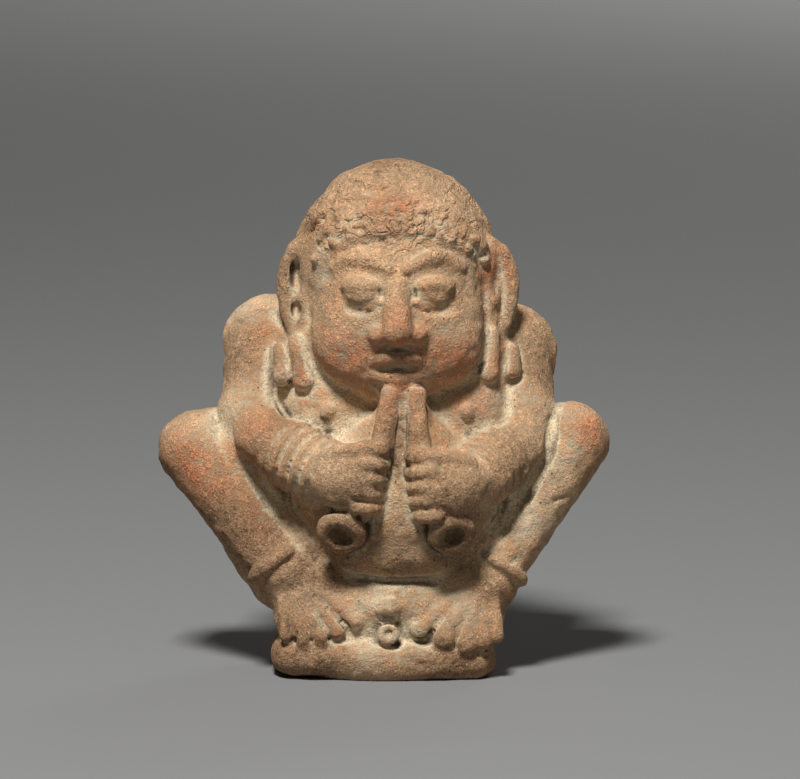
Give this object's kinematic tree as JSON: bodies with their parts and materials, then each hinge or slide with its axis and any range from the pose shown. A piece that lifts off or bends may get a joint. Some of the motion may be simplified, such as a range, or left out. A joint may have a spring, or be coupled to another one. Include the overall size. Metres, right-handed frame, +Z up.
{
  "type": "dwarf musician figure",
  "caption": "Small solid terracotta figure of a squatting dwarf with bangles, drop earrings and curled hair, holding flared pipes to the chin, on a low base.",
  "frame": {"origin": "on the flat underside, below the middle of the figure's bounding box", "axes": "+Z up; the figure looks along -Y; +X is the figure's left hand"},
  "size_m": [0.086, 0.0454, 0.0968],
  "materials": {
    "terracotta": "unglazed low-fired clay, buff to orange-brown, sandy and dull, with pale soil left in the hollows"
  },
  "bodies": {
    "root": {"dwarf_musician": "terracotta"}
  },
  "joints": []
}
